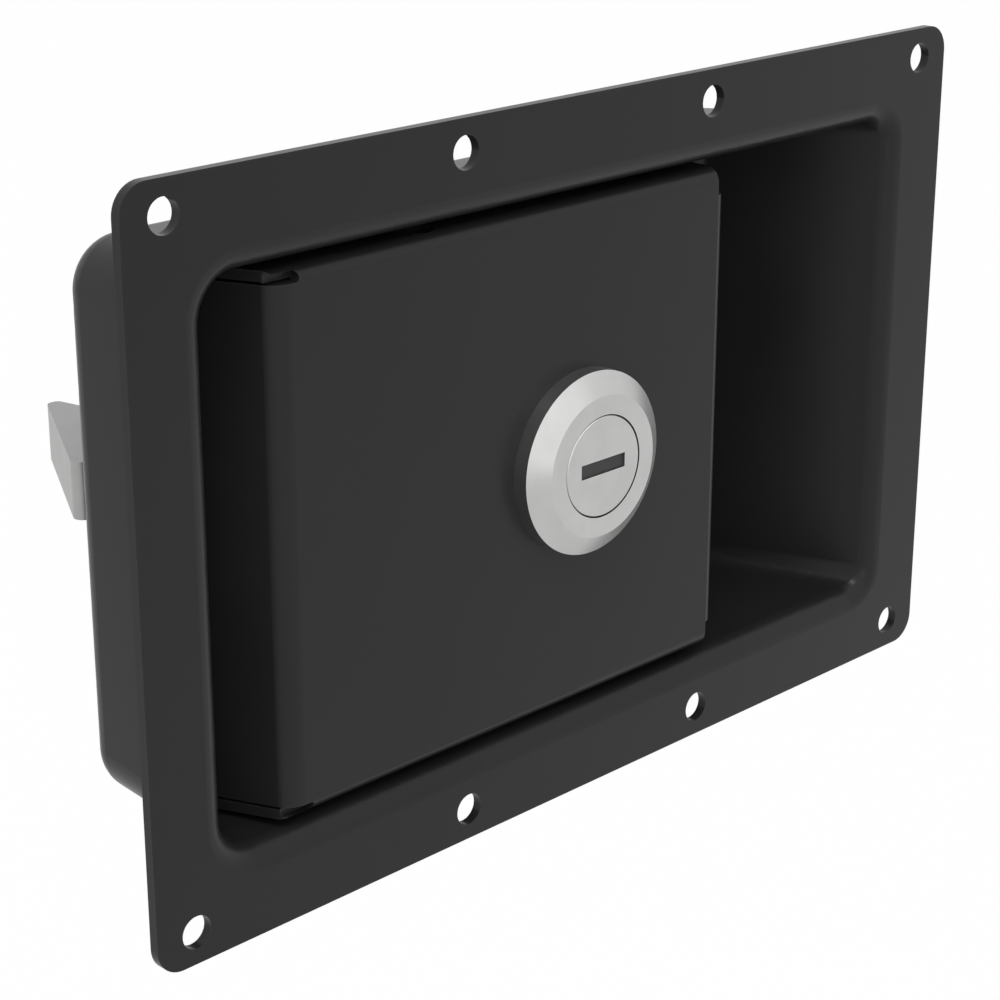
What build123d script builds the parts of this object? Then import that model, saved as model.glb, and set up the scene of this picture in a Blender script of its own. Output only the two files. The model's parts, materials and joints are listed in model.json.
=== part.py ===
from build123d import *
import os
from math import atan, cos, radians, sin, sqrt, tan

# Flush-mounted slam latch with a folded steel paddle, a keyed lock and a sliding wedge bolt.
# X points right, Y points into the door panel and Z points up. The origin is the centre of
# the screw pattern, in the rear face of the flange, which seats on the panel.
# All sizes are in millimetres, and all angles in degrees.

# Dish: one sheet, drawn into a pan inside a flat flange
sheet = 1.5
flange_width = 165.0
flange_height = 107.0
flange_corner_r = 4.2
screw_columns = 4
screw_edge_x = 6.6
screw_edge_z = 4.75
screw_hole_r = 2.4
recess_centre_z = -0.6
land_left = 12.6
land_right = 12.3
land_height = 13.35
recess_depth = 29.3
wall_draft = 2.4
pocket_slope = 0.465
recess_corner_r = 6.0
pocket_corner_r = 3.5
floor_bend_r = 3.0
lip_r = 3.5

# Paddle: a folded sheet cover with a flange along the top, bottom, left and right
paddle_sheet = 1.5
paddle_set_back = 1.0
paddle_left_gap = 12.1
paddle_left_slope = 0.45
paddle_right = 30.4
paddle_height_gap = 1.35
paddle_bend_r = 2.4
paddle_left_bend_r = 3.6
paddle_flange_depth = 15.5
paddle_left_depth = 15.0
paddle_right_depth = 8.5
right_flange_short = 4.2
right_flange_offset = 2.15
relief_gap = 0.4
relief_height = 1.4
relief_length = 3.9
side_hole_inset = 28.1
side_hole_depth = 4.4
side_hole_r = 2.5

# Paddle pivot and the bracket that carries it
pivot_inset = 11.8
pivot_y = 10.0
pivot_pin_r = 2.5
running_gap = 0.08
bracket_sheet = 2.0
bracket_height_gap = 5.3
bracket_left = 12.0
bracket_right = 16.0
bracket_rivet_left = 2.0
bracket_rivet_right = 11.0
bracket_rivet_inset = 9.0
ear_half_width = 7.0
ear_r = 5.0
spacer_wall = 1.6
clip_thickness = 0.8
clip_r = 4.4
end_gap = 0.3

# Release lever: a fork welded inside the paddle, straddling the bolt
lever_sheet = 2.5
lever_base_half_width = 10.0
lever_hub_r = 6.5
lever_arm_width = 10.0
lever_past_pin = 8.1
fork_side_gap = 0.5
lever_slot_margin = 1.7
release_angle = 22.0

# Bolt: a plate with a wedge nose, the shank slides in a housing behind the dish
bolt_behind_dish = 10.1
bolt_thickness = 8.7
shank_depth = 12.0
nose_reach = 16.95
nose_depth = 26.0
nose_back_reach = 2.8
nose_back_width = 1.9
shoulder_width = 5.2
shank_length = 48.0
nose_r = 1.5
heel_r = 0.9
bolt_travel = 14.9
drive_pin_reach = 8.0
drive_pin_r = 2.5
drive_pin_overhang = 1.4
drive_gap = 0.3

# Housing: a hat section riveted to the back of the dish
housing_sheet = 1.5
shoulder_clearance = 0.4
spring_room = 25.5
housing_foot = 12.0
slide_gap = 0.3
guide_pin_r = 1.5
guide_pin_inset = 6.0
housing_rivet_inset = 8.0

# Bolt spring on its rod
rod_r = 2.5
rod_seat = 8.0
rod_overhang = 6.0
spring_wire_r = 0.45
spring_mean_r = 3.6
spring_turns = 8

# Return spring round the pivot pin
return_wire_r = 0.6
return_mean_r = 4.3
return_turns = 7
return_start = 12.5
leg_swell = 0.03
leg_overlap = 0.05

# Rivets
rivet_r = 2.0
rivet_head_r = 3.4
rivet_head_height = 1.3

# Lock
lock_x = -1.2
bezel_r = 13.9
bezel_face_r = 10.75
bezel_skirt = 2.4
bezel_height = 4.5
barrel_r = 9.5
barrel_length = 17.0
barrel_hole_gap = 0.15
plug_r = 7.6
plug_gap = 0.2
plug_edge = 0.12
plug_tail = 3.0
key_slot_width = 9.2
key_slot_height = 2.2
key_slot_depth = 14.0
shutter_set_back = 0.35
shutter_thickness = 0.8
shutter_gap = 0.05
wafer_count = 5
wafer_pitch = 2.2
wafer_thickness = 1.0
wafer_width = 12.2
wafer_height = 12.6
wafer_window_width = 10.4
wafer_window_height = 3.2
wafer_start = 2.2
washer_thickness = 1.0
washer_r = 13.0
nut_flats = 24.0
nut_thickness = 4.5
cam_thickness = 2.0
cam_hub_r = 7.5
cam_tip_r = 5.0
cam_reach = 21.0
tail_half_width = 3.0
cam_screw_r = 1.75
cam_screw_grip = 3.4
cam_screw_collar = 0.8
cam_screw_collar_inset = 1.5
cam_screw_head_flats = 7.0
cam_screw_head_height = 2.8

# Places worked out from the sizes above
screw_pitch = (flange_width - 2 * screw_edge_x) / (screw_columns - 1)
screw_row_spacing = flange_height - 2 * screw_edge_z
recess_left = flange_width / 2 - land_left
recess_right = flange_width / 2 - land_right
recess_half_height = flange_height / 2 - land_height
paddle_left = recess_left - paddle_left_gap
paddle_half_height = recess_half_height - paddle_height_gap
relief_end = paddle_left - relief_length
pivot_x = pivot_inset - paddle_left
bracket_half_height = paddle_half_height - bracket_height_gap
bracket_rivet_z = bracket_half_height - bracket_rivet_inset
front_y = -sheet
floor_y = front_y + recess_depth
back_y = floor_y + sheet
face_y = front_y + paddle_set_back
inner_face_y = face_y + paddle_sheet
pocket_angle = atan(pocket_slope)
bolt_front = back_y + bolt_behind_dish
shank_back = bolt_front + shank_depth
nose_back = bolt_front + nose_depth
nose_tip_x = pivot_x - nose_reach
nose_back_x = pivot_x - nose_back_reach
heel_x = nose_back_x + nose_back_width
shoulder_x = nose_back_x + shoulder_width
shank_end_x = pivot_x + shank_length
drive_pin_x = pivot_x + drive_pin_reach
drive_pin_y = bolt_front + shank_depth / 2
housing_left = shoulder_x + bolt_travel + shoulder_clearance
housing_right = shank_end_x + spring_room
bolt_half = bolt_thickness / 2
wall_inner = bolt_half + slide_gap
wall_outer = wall_inner + housing_sheet
arm_inner = wall_outer + fork_side_gap
arm_outer = arm_inner + lever_sheet
arm_right = drive_pin_x - drive_pin_r - drive_gap
arm_left = arm_right - lever_arm_width
web_inner = shank_back + slide_gap
web_outer = web_inner + housing_sheet
bezel_front = face_y - bezel_height
barrel_end = face_y + barrel_length
cam_y = barrel_end + end_gap


def block(x0, x1, y0, y1, z0, z1):
    """A box between two corners."""
    centre = Pos((x0 + x1) / 2, (y0 + y1) / 2, (z0 + z1) / 2)
    return centre * Box(abs(x1 - x0), abs(y1 - y0), abs(z1 - z0))


def round_x(y, z, r, x0, x1):
    """A cylinder along X."""
    return Pos((x0 + x1) / 2, y, z) * Rot(0, 90, 0) * Cylinder(r, x1 - x0)


def round_y(x, z, r, y0, y1):
    """A cylinder along Y."""
    return Pos(x, (y0 + y1) / 2, z) * Rot(90, 0, 0) * Cylinder(r, y1 - y0)


def round_z(x, y, r, z0, z1):
    """A cylinder along Z."""
    return Pos(x, y, (z0 + z1) / 2) * Cylinder(r, z1 - z0)


def plan_plate(points, z0, z1):
    """A plate with an outline in X and Y, between two heights."""
    outline = make_face(Polyline(*points, close=True))
    return Pos(0, 0, z0) * extrude(outline, amount=z1 - z0)


def upright_edges(solid, x, y):
    """The edges of a plan plate that stand on one corner of its outline."""
    return solid.edges().filter_by(Axis.Z).filter_by(
        lambda e: abs(e.center().X - x) < 0.01 and abs(e.center().Y - y) < 0.01
    )


def turned_y(x, z, outline):
    """A solid turned about a Y axis, from (radius, y) points."""
    points = [(r, y) for r, y in outline]
    profile = make_face(Polyline(*points, close=True))
    return Pos(x, 0, z) * revolve(profile, Axis.Y)


def hexagon_y(x, z, flats, y0, y1):
    """A hexagonal prism along Y."""
    outline = Plane.XZ * RegularPolygon(flats / sqrt(3), 6)
    return Pos(x, y0, z) * extrude(outline, amount=-(y1 - y0))


def rivet(x, z, y0, y1):
    """A rivet along Y through plates between y0 and y1, a head at each end."""
    shank = round_y(x, z, rivet_r, y0, y1)
    near = round_y(x, z, rivet_head_r, y0 - rivet_head_height, y0)
    far = round_y(x, z, rivet_head_r, y1, y1 + rivet_head_height)
    crown = 0.7 * rivet_head_height
    near = fillet(near.faces().sort_by(Axis.Y)[0].edges(), crown)
    far = fillet(far.faces().sort_by(Axis.Y)[-1].edges(), crown)
    return shank + near + far


def screw_places():
    """The eight screw holes as (x, z)."""
    first = -screw_pitch * (screw_columns - 1) / 2
    columns = [first + i * screw_pitch for i in range(screw_columns)]
    return [(x, side * screw_row_spacing / 2) for x in columns for side in (-1, 1)]


def bracket_rivet_places():
    """The four rivets of the hinge bracket as (x, z)."""
    xs = (pivot_x - bracket_rivet_left, pivot_x + bracket_rivet_right)
    return [(x, side * bracket_rivet_z) for x in xs for side in (-1, 1)]


def housing_rivet_places():
    """The four rivets of the bolt housing as (x, z)."""
    xs = (housing_left + housing_rivet_inset, housing_right - housing_rivet_inset)
    z = wall_outer + housing_foot / 2
    return [(x, side * z) for x in xs for side in (-1, 1)]


def arm_sweep_right(y):
    """The furthest right that the lever's arm reaches at a depth, over its whole swing."""
    swing = radians(release_angle)
    return pivot_x + ((arm_right - pivot_x) + (y - pivot_y) * sin(swing)) / cos(swing)


def lever_slot(y0, y1, extra):
    """The window that the lever's arms swing in."""
    left = arm_left - lever_slot_margin - extra
    right = arm_sweep_right(y1) + lever_slot_margin + extra
    half = arm_outer + extra + 0.5
    return block(left, right, y0, y1, -half, half)


def pan_section(left, right, half, y):
    """A rectangle across the pan, in a plane that faces Y."""
    return make_face(Polyline((left, y, -half), (right, y, -half), (right, y, half),
                              (left, y, half), close=True))


def pan_form(grow):
    """The pan as a filled shape with leaning walls, moved out by grow."""
    deep = floor_y + grow
    wall_shift = grow / cos(radians(wall_draft))
    wall_lean = tan(radians(wall_draft)) * (deep - front_y)
    left = -recess_left - wall_shift
    half = recess_half_height + wall_shift
    right_front = recess_right + grow / cos(pocket_angle)
    right_deep = right_front - pocket_slope * (deep - front_y)
    mouth = pan_section(left, right_front, half, front_y)
    floor = pan_section(left + wall_lean, right_deep, half - wall_lean, deep)
    form = loft([mouth, floor], ruled=True)
    corners = form.edges().filter_by(
        lambda e: e.bounding_box().size.Y > 0.9 * recess_depth).sort_by(Axis.X)
    form = fillet(corners[:2], recess_corner_r + grow)
    slanted = form.edges().filter_by(lambda e: e.bounding_box().size.Y > 0.9 * recess_depth)
    form = fillet(slanted.sort_by(Axis.X)[-2:], pocket_corner_r + grow)
    form = fillet(form.faces().sort_by(Axis.Y)[-1].edges(), floor_bend_r + grow)
    return Pos(0, 0, recess_centre_z) * form


def flat_face_at(solid, y):
    """The largest flat face of a solid that lies in the plane at y."""
    faces = solid.faces().filter_by(Axis.Y).filter_by(lambda f: abs(f.center().Y - y) < 0.001)
    return faces.sort_by(SortBy.AREA)[-1]


def make_dish():
    """The mounting flange and the pan, pressed from one sheet."""
    flange = block(-flange_width / 2, flange_width / 2, front_y, 0,
                   -flange_height / 2, flange_height / 2)
    flange = fillet(flange.edges().filter_by(Axis.Y), flange_corner_r)
    body = flange + pan_form(sheet)
    rear_bend = flat_face_at(body, 0).inner_wires()[0].edges()
    body = fillet(rear_bend, lip_r - sheet)
    body = body - pan_form(0)
    lip = flat_face_at(body, front_y).inner_wires()[0].edges()
    body = fillet(lip, lip_r)
    for x, z in screw_places():
        body -= round_y(x, z, screw_hole_r, front_y - 1, 1)
    for x, z in bracket_rivet_places() + housing_rivet_places():
        body -= round_y(x, z + recess_centre_z, rivet_r, floor_y - 1, back_y + 1)
    return body - Pos(0, 0, recess_centre_z) * lever_slot(floor_y - 1, back_y + 1, 0)


def paddle_outline(depth):
    """The paddle's outline seen from above: flat face and slanted left side."""
    left = -paddle_left
    far_y = face_y + depth
    return [(left, face_y), (paddle_right, face_y), (paddle_right, far_y),
            (left - paddle_left_slope * depth, far_y)]


def make_paddle_left():
    """The face with its slanted left wall, one bent section."""
    left, t = -paddle_left, paddle_sheet
    across = t * sqrt(1 + paddle_left_slope ** 2)
    inner_left = left - paddle_left_slope * t + across
    far_y = face_y + paddle_left_depth
    far_left = left - paddle_left_slope * paddle_left_depth
    half = paddle_half_height - paddle_sheet - relief_gap
    section = plan_plate(
        [(left, face_y), (lock_x, face_y), (lock_x, inner_face_y), (inner_left, inner_face_y),
         (far_left + across, far_y), (far_left, far_y)], -half, half)
    section = fillet(upright_edges(section, left, face_y), paddle_left_bend_r)
    return fillet(upright_edges(section, inner_left, inner_face_y), paddle_left_bend_r - t)


def make_paddle_right():
    """The face with its return flange on the right, one bent section."""
    right, t = paddle_right, paddle_sheet
    far_y = face_y + paddle_right_depth
    half = paddle_half_height - right_flange_short
    section = plan_plate(
        [(right, face_y), (lock_x, face_y), (lock_x, inner_face_y), (right - t, inner_face_y),
         (right - t, far_y), (right, far_y)], -half, half)
    section = fillet(upright_edges(section, right, face_y), paddle_bend_r)
    return fillet(upright_edges(section, right - t, inner_face_y), paddle_bend_r - t)


def make_paddle_channel():
    """The face with its top and bottom flanges, a channel trimmed to the outline."""
    half, t = paddle_half_height, paddle_sheet
    far_y = face_y + paddle_flange_depth
    x0, x1 = -2 * paddle_left, paddle_right - right_flange_offset
    outer = block(x0, x1, face_y, far_y, -half, half)
    outer = fillet(outer.edges().filter_by(Axis.X).sort_by(Axis.Y)[:2], paddle_bend_r)
    hollow = block(x0 - 1, x1 + 1, inner_face_y, far_y + 1, -half + t, half - t)
    hollow = fillet(hollow.edges().filter_by(Axis.X).sort_by(Axis.Y)[:2], paddle_bend_r - t)
    trim = plan_plate(paddle_outline(paddle_flange_depth), -half - 1, half + 1)
    trim = fillet(upright_edges(trim, -paddle_left, face_y), paddle_left_bend_r)
    channel = (outer - hollow) & trim
    # Corner reliefs, where the left wall and the flanges would crush in the fold
    relief_low = half - t - relief_gap
    relief_mid = relief_low + relief_height / 2
    for side in (-1, 1):
        low, high = sorted((side * relief_low, side * (relief_low + relief_height)))
        round_x0 = -relief_end - relief_height / 2
        channel -= block(x0, round_x0, face_y - 1, inner_face_y + relief_gap, low, high)
        channel -= round_y(round_x0, side * relief_mid, relief_height / 2,
                           face_y - 1, inner_face_y + relief_gap)
    return channel


def make_paddle():
    """The cover that the fingers pull: face, four flanges and open corners."""
    cover = make_paddle_channel() + make_paddle_left() + make_paddle_right()
    cover -= round_y(lock_x, 0, barrel_r + barrel_hole_gap, face_y - 1, inner_face_y + 1)
    half = paddle_half_height + 1
    cover -= round_z(side_hole_inset - paddle_left, face_y + side_hole_depth, side_hole_r,
                     -half, half)
    return cover - round_z(pivot_x, pivot_y, pivot_pin_r + running_gap, -half, half)


def make_hinge_bracket():
    """A channel on the floor of the dish, its two ears hold the pivot pin."""
    half = bracket_half_height
    base_y = floor_y - bracket_sheet
    base = block(pivot_x - bracket_left, pivot_x + bracket_right, base_y, floor_y, -half, half)
    base = fillet(base.edges().filter_by(Axis.Y), 3.0)
    ears = []
    for side in (-1, 1):
        low, high = sorted((side * half, side * (half - bracket_sheet)))
        stem = block(pivot_x - ear_half_width, pivot_x + ear_half_width, pivot_y,
                     base_y + bracket_sheet / 2, low, high)
        tip = round_z(pivot_x, pivot_y, ear_r, low, high)
        neck = block(pivot_x - ear_half_width, pivot_x + ear_half_width,
                     pivot_y, pivot_y + 2, low, high)
        ears.append(stem + tip + neck)
    bracket = base + ears[0] + ears[1]
    bracket -= round_z(pivot_x, pivot_y, pivot_pin_r, -half - 1, half + 1)
    for x, z in bracket_rivet_places():
        bracket -= round_y(x, z, rivet_r, base_y - 1, floor_y + 1)
    return bracket - lever_slot(base_y - 1, floor_y + 1, 0.5)


def make_pivot_pin():
    """The vertical pin that the paddle turns on, its ends chamfered."""
    half = paddle_half_height + 0.5
    pin = round_z(pivot_x, pivot_y, pivot_pin_r, -half, half)
    return chamfer(pin.edges().filter_by(GeomType.CIRCLE), 0.5)


def make_spacer(side):
    """A nylon tube on the pin, between a bracket ear and a paddle flange."""
    z0 = bracket_half_height + end_gap / 2
    z1 = paddle_half_height - paddle_sheet - end_gap / 2
    z0, z1 = sorted((side * z0, side * z1))
    outer = round_z(pivot_x, pivot_y, pivot_pin_r + spacer_wall, z0, z1)
    return outer - round_z(pivot_x, pivot_y, pivot_pin_r, z0 - 1, z1 + 1)


def make_pin_clip(side):
    """A snap ring on the pin, inside a bracket ear, open on one side."""
    near = bracket_half_height - bracket_sheet - end_gap / 2
    z0, z1 = sorted((side * near, side * (near - clip_thickness)))
    ring = round_z(pivot_x, pivot_y, clip_r, z0, z1)
    ring -= round_z(pivot_x, pivot_y, pivot_pin_r, z0 - 1, z1 + 1)
    mouth = pivot_pin_r * 0.8
    return ring - block(pivot_x, pivot_x + clip_r + 1, pivot_y - mouth, pivot_y + mouth,
                        z0 - 1, z1 + 1)


def make_release_lever():
    """A fork: a base inside the paddle's face and two arms that push the drive pin."""
    base_left = pivot_x - lever_base_half_width
    base_right = pivot_x + lever_base_half_width
    base = block(base_left, base_right, inner_face_y, inner_face_y + lever_sheet,
                 -arm_outer, arm_outer)
    arm_end = drive_pin_y + lever_past_pin
    lever = base
    for side in (-1, 1):
        low, high = sorted((side * arm_inner, side * arm_outer))
        web = plan_plate(
            [(base_left, inner_face_y), (base_right, inner_face_y),
             (pivot_x + lever_hub_r, pivot_y), (arm_right, pivot_y + lever_hub_r),
             (arm_right, arm_end), (arm_left, arm_end),
             (arm_left, pivot_y + lever_hub_r), (pivot_x - lever_hub_r, pivot_y)],
            low, high)
        web = fillet(upright_edges(web, arm_left, arm_end), 3.0)
        web = fillet(upright_edges(web, arm_right, arm_end), 1.0)
        lever += web + round_z(pivot_x, pivot_y, lever_hub_r, low, high)
    return lever - round_z(pivot_x, pivot_y, pivot_pin_r + running_gap,
                           -arm_outer - 1, arm_outer + 1)


def make_bolt():
    """The sliding plate: wedge nose, heel behind it and straight shank."""
    bolt = plan_plate(
        [(nose_tip_x, bolt_front), (nose_back_x, nose_back), (heel_x, nose_back),
         (shoulder_x, shank_back), (shank_end_x, shank_back), (shank_end_x, bolt_front)],
        -bolt_half, bolt_half)
    bolt = fillet(upright_edges(bolt, nose_tip_x, bolt_front), nose_r)
    bolt = fillet(upright_edges(bolt, nose_back_x, nose_back), heel_r)
    bolt = fillet(upright_edges(bolt, heel_x, nose_back), heel_r)
    bolt -= round_z(drive_pin_x, drive_pin_y, drive_pin_r, -bolt_half - 1, bolt_half + 1)
    return bolt - round_x(drive_pin_y, 0, rod_r, shank_end_x - rod_seat, shank_end_x + 1)


def make_drive_pin():
    """The cross pin in the bolt that the lever's arms push."""
    half = arm_outer + drive_pin_overhang
    pin = round_z(drive_pin_x, drive_pin_y, drive_pin_r, -half, half)
    return chamfer(pin.edges().filter_by(GeomType.CIRCLE), 0.5)


def make_bolt_rod():
    """The rod in the end of the shank, which carries the spring through the end tab."""
    rod = round_x(drive_pin_y, 0, rod_r, shank_end_x - rod_seat, housing_right + rod_overhang)
    return chamfer(rod.edges().filter_by(GeomType.CIRCLE).sort_by(Axis.X)[-1], 0.5)


def make_rod_clip():
    """The snap ring that stops the bolt against the outside of the end tab."""
    x0 = housing_right + end_gap
    x1 = x0 + clip_thickness
    ring = round_x(drive_pin_y, 0, clip_r, x0, x1) - round_x(drive_pin_y, 0, rod_r, x0 - 1, x1 + 1)
    mouth = rod_r * 0.8
    return ring - block(x0 - 1, x1 + 1, drive_pin_y, drive_pin_y + clip_r + 1, -mouth, mouth)


def make_bolt_spring():
    """The compression spring between the shank and the end tab."""
    x0 = shank_end_x + spring_wire_r + end_gap / 2
    x1 = housing_right - housing_sheet - spring_wire_r - end_gap / 2
    length = x1 - x0
    path = Helix(length / spring_turns, length, spring_mean_r)
    wire = sweep(Plane(path @ 0, z_dir=path % 0) * Circle(spring_wire_r), path, is_frenet=True)
    return Pos(x0, drive_pin_y, 0) * Rot(0, 90, 0) * wire


def make_return_spring():
    """The torsion spring round the pivot pin, one leg on the paddle, one on the bracket."""
    length = return_turns * return_wire_r * 2.3
    path = Helix(length / return_turns, length, return_mean_r)
    wire = sweep(Plane(path @ 0, z_dir=path % 0) * Circle(return_wire_r), path, is_frenet=True)
    leg_r = return_wire_r + leg_swell
    front_leg = round_y(return_mean_r, 0, leg_r, inner_face_y + end_gap - pivot_y, leg_overlap)
    rear_leg = round_y(return_mean_r, length, leg_r, -leg_overlap,
                       floor_y - bracket_sheet - end_gap - pivot_y)
    return Pos(pivot_x, pivot_y, return_start) * (wire + front_leg + rear_leg)


def make_bolt_housing():
    """A hat section behind the dish: two walls, a web, two feet and an end tab."""
    x0, x1 = housing_left, housing_right
    walls = block(x0, x1, back_y, web_outer, -wall_outer, wall_outer)
    walls = fillet(walls.edges().filter_by(Axis.X).sort_by(Axis.Y)[-2:], 2.0)
    walls -= block(x0 - 1, x1 - housing_sheet, back_y - 1, web_inner, -wall_inner, wall_inner)
    housing = walls
    foot = wall_outer + housing_foot
    for side in (-1, 1):
        low, high = sorted((side * wall_inner, side * foot))
        plate = block(x0, x1, back_y, back_y + housing_sheet, low, high)
        outer_corners = plate.edges().filter_by(Axis.Y).filter_by(
            lambda e: abs(e.center().Z) > foot - 0.01)
        housing += fillet(outer_corners, 3.0)
    # Open slots for the drive pin, round holes for the guide pins, the rod and the rivets
    slot_end = drive_pin_x + bolt_travel + drive_pin_r + 1.0
    slot_half = drive_pin_r + slide_gap
    housing -= block(x0 - 1, slot_end, drive_pin_y - slot_half, drive_pin_y + slot_half,
                     -wall_outer - 1, wall_outer + 1)
    for x in guide_pin_places():
        housing -= round_z(x, guide_pin_y(), guide_pin_r, -wall_outer - 1, wall_outer + 1)
    housing -= round_x(drive_pin_y, 0, rod_r + slide_gap, x1 - 3, x1 + 1)
    for x, z in housing_rivet_places():
        housing -= round_y(x, z, rivet_r, back_y - 1, back_y + housing_sheet + 1)
    return housing


def guide_pin_places():
    """Where the two guide pins stand along the housing."""
    return (housing_left + guide_pin_inset, shank_end_x - guide_pin_inset - 4.0)


def guide_pin_y():
    """The guide pins run just in front of the shank."""
    return bolt_front - slide_gap / 2 - guide_pin_r


def make_guide_pins():
    """Two pins across the housing, in front of the shank, which keep it in its track."""
    half = wall_outer + 0.6
    pins = [round_z(x, guide_pin_y(), guide_pin_r, -half, half) for x in guide_pin_places()]
    return Compound([p.solid() for p in pins])


def make_rivets(places, y0, y1):
    """One group of like rivets."""
    return Compound([rivet(x, z, y0, y1).solid() for x, z in places])


def make_lock_body():
    """The bezel and the barrel in one piece, bored for the plug."""
    bore_r = plug_r + plug_gap
    outline = [
        (bore_r, bezel_front), (bezel_face_r, bezel_front),
        (bezel_r, face_y - bezel_skirt), (bezel_r, face_y),
        (barrel_r, face_y), (barrel_r, barrel_end), (bore_r, barrel_end),
    ]
    return turned_y(lock_x, 0, outline)


def key_way(y0, y1, grow):
    """The flat slot for the key."""
    half_width = key_slot_width / 2 + grow
    half_height = key_slot_height / 2 + grow
    return block(lock_x - half_width, lock_x + half_width, y0, y1,
                 -half_height, half_height)


def wafer_fronts():
    """The front of each wafer along the plug."""
    return [face_y + wafer_start + i * wafer_pitch for i in range(wafer_count)]


def wafer_block(y0, grow):
    """One wafer's outer block."""
    return block(lock_x - wafer_width / 2 - grow, lock_x + wafer_width / 2 + grow,
                 y0 - grow, y0 + wafer_thickness + grow,
                 -wafer_height / 2 - grow, wafer_height / 2 + grow)


def make_lock_plug():
    """The turning plug: face, key slot, wafer slots and a square tail for the cam."""
    plug = round_y(lock_x, 0, plug_r, bezel_front, barrel_end)
    plug = chamfer(plug.edges().filter_by(GeomType.CIRCLE).sort_by(Axis.Y)[0], plug_edge)
    tail_end = cam_y + cam_thickness
    plug += block(lock_x - tail_half_width, lock_x + tail_half_width, barrel_end - 1, tail_end,
                  -tail_half_width, tail_half_width)
    plug -= key_way(bezel_front - 1, face_y + key_slot_depth, 0)
    pocket = 0.08
    disc = round_y(lock_x, 0, plug_r - 0.6, face_y, barrel_end)
    for y0 in wafer_fronts():
        plug -= wafer_block(y0, pocket) & disc
    return plug - round_y(lock_x, 0, cam_screw_r, tail_end - cam_screw_grip - 0.1, tail_end + 1)


def make_lock_wafers():
    """The flat wafers that the key lifts."""
    disc = round_y(lock_x, 0, plug_r - 0.8, face_y, barrel_end)
    wafers = []
    for y0 in wafer_fronts():
        plate = wafer_block(y0, 0) & disc
        window = block(lock_x - wafer_window_width / 2, lock_x + wafer_window_width / 2,
                       y0 - 1, y0 + wafer_thickness + 1,
                       -wafer_window_height / 2, wafer_window_height / 2)
        wafers.append((plate - window).solid())
    return Compound(wafers)


def make_key_shutter():
    """The dust flap just inside the key slot."""
    y0 = bezel_front + shutter_set_back
    return key_way(y0, y0 + shutter_thickness, -shutter_gap)


def make_lock_washer():
    """The washer under the lock nut."""
    ring = round_y(lock_x, 0, washer_r, inner_face_y, inner_face_y + washer_thickness)
    return ring - round_y(lock_x, 0, barrel_r, inner_face_y - 1,
                          inner_face_y + washer_thickness + 1)


def make_lock_nut():
    """The hexagon nut that clamps the lock in the paddle."""
    y0 = inner_face_y + washer_thickness
    nut = hexagon_y(lock_x, 0, nut_flats, y0, y0 + nut_thickness)
    return nut - round_y(lock_x, 0, barrel_r, y0 - 1, y0 + nut_thickness + 1)


def make_lock_cam():
    """The cam on the plug's tail, which points up while the paddle is free."""
    y0, y1 = cam_y, cam_y + cam_thickness
    hub = round_y(lock_x, 0, cam_hub_r, y0, y1)
    arm = block(lock_x - cam_tip_r, lock_x + cam_tip_r, y0, y1, 0, cam_reach)
    tip = round_y(lock_x, cam_reach, cam_tip_r, y0, y1)
    cam = hub + arm + tip
    return cam - block(lock_x - tail_half_width, lock_x + tail_half_width, y0 - 1, y1 + 1,
                       -tail_half_width, tail_half_width)


def make_cam_screw():
    """The screw that holds the cam on the tail."""
    y0 = cam_y + cam_thickness
    head = hexagon_y(lock_x, 0, cam_screw_head_flats, y0, y0 + cam_screw_head_height)
    collar = round_y(lock_x, 0, cam_hub_r - cam_screw_collar_inset, y0, y0 + cam_screw_collar)
    return head + collar + round_y(lock_x, 0, cam_screw_r, y0 - cam_screw_grip, y0)


nodes = {
    "dish": make_dish(),
    "hinge_bracket": make_hinge_bracket(),
    "bracket_rivets": make_rivets(bracket_rivet_places(), floor_y - bracket_sheet, back_y),
    "pivot_pin": make_pivot_pin(),
    "pivot_spacer_top": make_spacer(1),
    "pivot_spacer_bottom": make_spacer(-1),
    "pin_clip_top": make_pin_clip(1),
    "pin_clip_bottom": make_pin_clip(-1),
    "return_spring": make_return_spring(),
    "bolt_housing": make_bolt_housing(),
    "housing_rivets": make_rivets(housing_rivet_places(), floor_y, back_y + housing_sheet),
    "guide_pins": make_guide_pins(),
    "bolt_spring": make_bolt_spring(),
    "paddle": make_paddle(),
    "release_lever": make_release_lever(),
    "lock_body": make_lock_body(),
    "lock_washer": make_lock_washer(),
    "lock_nut": make_lock_nut(),
    "lock_plug": make_lock_plug(),
    "lock_wafers": make_lock_wafers(),
    "key_shutter": make_key_shutter(),
    "lock_cam": make_lock_cam(),
    "cam_screw": make_cam_screw(),
    "bolt": make_bolt(),
    "drive_pin": make_drive_pin(),
    "bolt_rod": make_bolt_rod(),
    "rod_clip": make_rod_clip(),
}

# All but the dish are drawn about the middle of the recess, which lies below the screw pattern
for name in nodes:
    if name != "dish":
        nodes[name] = Pos(0, 0, recess_centre_z) * nodes[name]

os.makedirs("parts", exist_ok=True)
for name, shape in nodes.items():
    export_step(shape, f"parts/{name}.step")
    print(name, round(shape.volume, 1))
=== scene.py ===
# %% [markdown]
# # A slam latch for a door panel
# The real object is a black dish pressed from sheet steel. A folded paddle turns in it, and a
# wedge bolt slides behind it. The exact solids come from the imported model, so this lesson
# dresses them: it gives each finish its material, and makes again the few pieces that look
# better when Blender makes them, which are the coiled springs, the domed rivets and the welds.

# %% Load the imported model
import json
import math

import bmesh
import bpy
from mathutils import Matrix, Vector


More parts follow.
